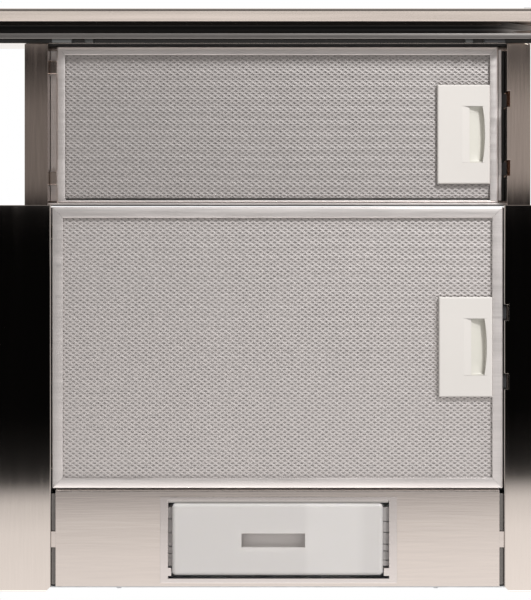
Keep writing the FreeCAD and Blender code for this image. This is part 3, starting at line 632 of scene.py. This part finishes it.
# rim box (left, right, front, rear, underside), rim widths (front, right, rear, left), places of the tongues
# and how far left they reach, middle of the latch and how far right its bolts reach, in mm
FILTERS = {
    "body": ((-169, 169, -143.5, 67.5, -42), (8, 8, 8, 8), (-124.5, 48), -172, -38.5, 172),
    "drawer": ((-167, 167, -265.7, -147.4, -29), (6.6, 6.3, 2, 6.3), (-250, -166), -173.5, -199, 173.5),
}
for key, (rect, rims, tongue_y, reach, mid, bolt) in FILTERS.items():
    hole = (122 * MM, 170 * MM, (mid - 36.6) * MM, (mid + 36.6) * MM)
    # the drawer filter takes the darker mesh tone: painted shade
    finish = M["drawer_mesh"] if key == "drawer" else M["mesh"]
    filter_mesh(f"{key}_mesh", f"{key}_filter_mesh", f"{key}_filter", hole, finish)
    filter_frame(f"{key}_frame", f"{key}_filter_frame", f"{key}_filter", rect, 9, rims,
                 [(reach, rect[0] + 1.5, y) for y in tongue_y])
    latch_slider(f"{key}_slider", f"{key}_latch_slider", f"{key}_latch", mid, rect[4], bolt)
    latch_trim(f"{key}_latch", f"{key}_filter", mid, rect[4])

# ------------------------------------------------------------------ handle bar details
BAR_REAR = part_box("front_fascia")[1].y / MM
BAR_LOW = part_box("front_fascia")[0].z / MM
BAR_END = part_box("front_fascia")[1].x / MM - 0.5
GRIP_MIDDLE = BAR_REAR - 11.4
LIP_MIDDLE = BAR_REAR - 4.75
SEAL_LOW = -36.7


def grip_ring(x, part):
    """Section of the dark strip laid in the finger groove as painted reflection; part is its share of the full
    width.
    """
    turns = [math.radians(a) for a in range(12, 169, 12)]
    middle = GRIP_MIDDLE + 4.5 * (1 - part)
    lower = [(x, middle + 4.55 * part * math.cos(a), BAR_LOW + 4.75 * math.sin(a)) for a in turns]
    upper = [(x, middle + 4.2 * part * math.cos(a), BAR_LOW + 0.5 + 5.0 * math.sin(a)) for a in turns]
    return lower + upper[::-1]


# place along the bar in mm and share of the full width there
GRIP = ((-BAR_END, 1.0), (160, 1.0), (172, 0.9), (181, 0.76), (190, 0.62), (205, 0.4), (230, 0.1))
# a dark sheet in the finger groove, painted reflection of the dark the groove mirrors; it narrows towards the
# right end
loft("painted_groove_reflection_strip", [grip_ring(x, part) for x, part in GRIP], "drawer", M["grip"])


def lip_ring(x):
    """Section of the bead along the groove's rear lip."""
    turns = [math.radians(a) for a in range(0, 181, 20)]
    return [(x, LIP_MIDDLE + 2.05 * math.cos(a), BAR_LOW + 0.3 - 0.45 * math.sin(a)) for a in turns]


# the bead's dark steel is painted reflection of the darker surroundings that the rear lip mirrors
loft("lip_bead", [lip_ring(x) for x in (-BAR_END, BAR_END)], "drawer", M["lip"])
block("fascia_seal", (-BAR_END, BAR_REAR - 2.7, SEAL_LOW), (BAR_END, BAR_REAR - 0.1, -36.02), "drawer",
      M["rubber"], 0.2)
# left and right end of each clip in mm, material
SEAL_CLIPS = (
    (-169.5, -154.5, "clip"), (-144.8, -138.4, "dark_clip_and_gap_shade"), (140.8, 147, "dark_clip_and_gap_shade"), (155, 171, "black"),
)
for k, (left, right, finish) in enumerate(SEAL_CLIPS):
    high = (right, BAR_REAR + 0.05, SEAL_LOW - 0.02)
    block(f"seal_clip_{k}", (left, BAR_REAR - 3.5, -40.6), high, "drawer", M[finish], 0.9)

# ------------------------------------------------------------------ lamp surround and side gaps
COVER_FRONT = (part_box("lamp_cover")[0] / MM).y
FLANGE_REAR = 126
rng = random.Random(5)
# the flange blocks' dark grey, broken into uneven lengths and heights, is painted shade in the cover's side
# gaps
for side, left, right in (("left", -82.1, -78.8), ("right", 78.8, 83.9)):
    y = COVER_FRONT + 3
    k = 0
    while y < FLANGE_REAR - 2:
        step = rng.uniform(5, 12)
        low = (left, y, -40.2 + rng.uniform(0, 0.8))
        high = (right, min(y + step - 0.4, FLANGE_REAR), -38.9)
        block(f"lamp_cover_flange_{side}_{k}", low, high, "lamp_cover", M["flange"], 0.5)
        y += step
        k += 1
# a grey strip in the gap in front of the lamp cover; its tone is painted shade
block("lamp_gap_front", (-82, 76.4, -43.15), (83, 78.1, -42.35), BODY["lamp_bezel"], M["painted_gap_shade"],
      0.1)
block("lamp_baffle", (-32, 97, -36.5), (26, 116, -36.1), BODY["lamp_box"], M["baffle"], 0.1)
PANEL_LOW, PANEL_HIGH = [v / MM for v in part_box("light_panel")]
# dark steel strips in the light panel's side gaps; their tone is painted shade
for side, left, right in (("left", -169.8, -166.6), ("right", 166.6, 169.8)):
    for k, (front, rear) in enumerate(((PANEL_LOW.y + 3, 99.5), (112.5, PANEL_HIGH.y - 1))):
        block(f"panel_step_{side}_{k}", (left, front, -39.6), (right, rear, -38.6), BODY["light_panel"],
              M["lip"], 0.2)

# strips along the drawer filter's two sides: name, left, right, underside, top in mm, material;
# the left ledge strip takes the frame's pale finish as painted light on the shaded ledge, and the right ledge
# strip's dark tone is painted shade in the gap
STRIPS = (
    ("filter_ledge_left", -172.3, -167.3, -21.6, -19.6, "frame"),
    ("filter_ledge_right", 169.4, 172.3, -21.6, -19.6, "dark_clip_and_gap_shade"),
    ("filter_rail_right", 167.25, 169.4, -28.7, -27.4, "frame"),
)
for name, left, right, low, high, key in STRIPS:
    block(name, (left, BAR_REAR + 4, low), (right, -149, high), "drawer", M[key],
          0.2)

# ------------------------------------------------------------------ camera, lights and stage
scene = bpy.context.scene
camera_data = bpy.data.cameras.new("camera")
camera = bpy.data.objects.new("camera", camera_data)
scene.collection.objects.link(camera)
scene.camera = camera
# distance from the underside to the camera and height of the view there, in metres
DISTANCE = 1.55
FRAME_HIGH = 0.450
camera.location = (-0.009, -0.07375, -0.042 - DISTANCE)
camera.rotation_euler = (math.pi, 0, 0)
camera_data.sensor_width = 36
camera_data.lens = 36 * DISTANCE / FRAME_HIGH
camera_data.clip_start = 0.01
camera_data.clip_end = 100

scene.view_settings.view_transform = "Standard"
world = bpy.data.worlds.new("studio")
scene.world = world
world.use_nodes = True
back = world.node_tree.nodes["Background"]
back.inputs["Color"].default_value = (1, 1, 1, 1)
back.inputs["Strength"].default_value = 1.0


def area_light(name, place, target, size, power):
    """A square lamp that points from one place to another."""
    data = bpy.data.lights.new(name, "AREA")
    data.size = size
    data.energy = power
    light = bpy.data.objects.new(name, data)
    scene.collection.objects.link(light)
    light.location = place
    aim = Vector(target) - Vector(place)
    light.rotation_euler = aim.to_track_quat("-Z", "Y").to_euler()


area_light("key", (0.9, -1.5, -1.2), (0, -0.06, -0.04), 0.3, 38)


def plane(name, half, z, material):
    """A level square of the stage around the middle."""
    bm = bmesh.new()
    spots = [(-half, -half, z), (half, -half, z), (half, half, z), (-half, half, z)]
    bm.faces.new([bm.verts.new(p) for p in spots])
    mesh = mesh_from(bm, name)
    obj = bpy.data.objects.new(name, mesh)
    scene.collection.objects.link(obj)
    mesh.materials.append(material)
    return obj


floor_finish = Nodes("floor", (0.86, 0.84, 0.82), 0.6)
floor_finish.rough(floor_finish.noise(6), 0.55, 0.7)
plane("floor", 14, -4.2, floor_finish.mat)


def shade_ramp(tree, value, stops):
    """Brightness along one direction of the card, from places in metres."""
    low, high = stops[0][0], stops[-1][0]
    reach = tree.nodes.new("ShaderNodeMapRange")
    reach.inputs["From Min"].default_value = low
    reach.inputs["From Max"].default_value = high
    tree.links.new(value, reach.inputs["Value"])
    warm = [((place - low) / (high - low), (shade, shade * 0.985, shade * 0.975)) for place, shade in stops]
    return color_ramp(tree, reach.outputs["Result"], warm)


def sky_card():
    """What polished surfaces mirror: dark middle, pale bands in front, brightest behind, dim past the sides."""
    mat = bpy.data.materials.new("sky_card")
    mat.use_nodes = True
    tree = mat.node_tree
    tree.nodes.clear()
    out = tree.nodes.new("ShaderNodeOutputMaterial")
    glow = tree.nodes.new("ShaderNodeEmission")
    tree.links.new(glow.outputs["Emission"], out.inputs["Surface"])
    coords = tree.nodes.new("ShaderNodeTexCoord")
    split = tree.nodes.new("ShaderNodeSeparateXYZ")
    tree.links.new(coords.outputs["Object"], split.inputs["Vector"])
    lean = tree.nodes.new("ShaderNodeMath")
    lean.operation = "MULTIPLY_ADD"
    tree.links.new(split.outputs["X"], lean.inputs[0])
    lean.inputs[1].default_value = SKY_LEAN
    tree.links.new(split.outputs["Y"], lean.inputs[2])
    both = tree.nodes.new("ShaderNodeVectorMath")
    both.operation = "MULTIPLY_ADD"
    tree.links.new(shade_ramp(tree, lean.outputs["Value"], SKY), both.inputs[0])
    tree.links.new(shade_ramp(tree, split.outputs["X"], SKY_ACROSS), both.inputs[1])
    tree.links.new(shade_ramp(tree, split.outputs["X"], SKY_SIDES), both.inputs[2])
    tree.links.new(both.outputs["Vector"], glow.inputs["Color"])
    glow.inputs["Strength"].default_value = SKY_STRENGTH
    return mat


# brightness of the card by place in metres: SKY from front to back, times SKY_ACROSS from side to side,
# plus SKY_SIDES from side to side; the stops are fitted by hand to one view, from straight below, where the
# card gives the wings and bar their bands; other views mirror other parts of it, and the export leaves it out
SKY = (
    (-1.0, 0.1), (-0.55, 0.1), (-0.53, 0.47), (-0.505, 0.49), (-0.49, 0.62), (-0.479, 0.62), (-0.468, 0.01),
    (-0.445, 0.012), (-0.41, 0.1), (-0.37, 0.2), (-0.245, 0.215), (-0.225, 0.003), (-0.17, 0.001),
    (0.1, 0.001), (0.1365, 0.003), (0.1665, 0.007), (0.1815, 0.014), (0.1965, 0.038), (0.2115, 0.22),
    (0.2265, 0.36), (0.2715, 0.46), (0.3315, 0.49), (0.4, 0.52), (0.52, 0.56), (0.62, 1.0), (1.2, 1.0),
)
SKY_ACROSS = ((-3.0, 0.0), (-0.9, 0.0), (-0.66, 0.88), (0.66, 1.0), (0.9, 0.0), (3.0, 0.0))
SKY_SIDES = ((-3.0, 0.12), (-0.9, 0.12), (-0.68, 0.0), (0.68, 0.0), (0.9, 0.14), (3.0, 0.14))
SKY_LEAN = 0.015
SKY_STRENGTH = 2.0
card = plane("sky_card", 5.0, camera.location.z, sky_card())
card.visible_camera = False
card.visible_diffuse = False
card.visible_shadow = False
card.visible_transmission = False
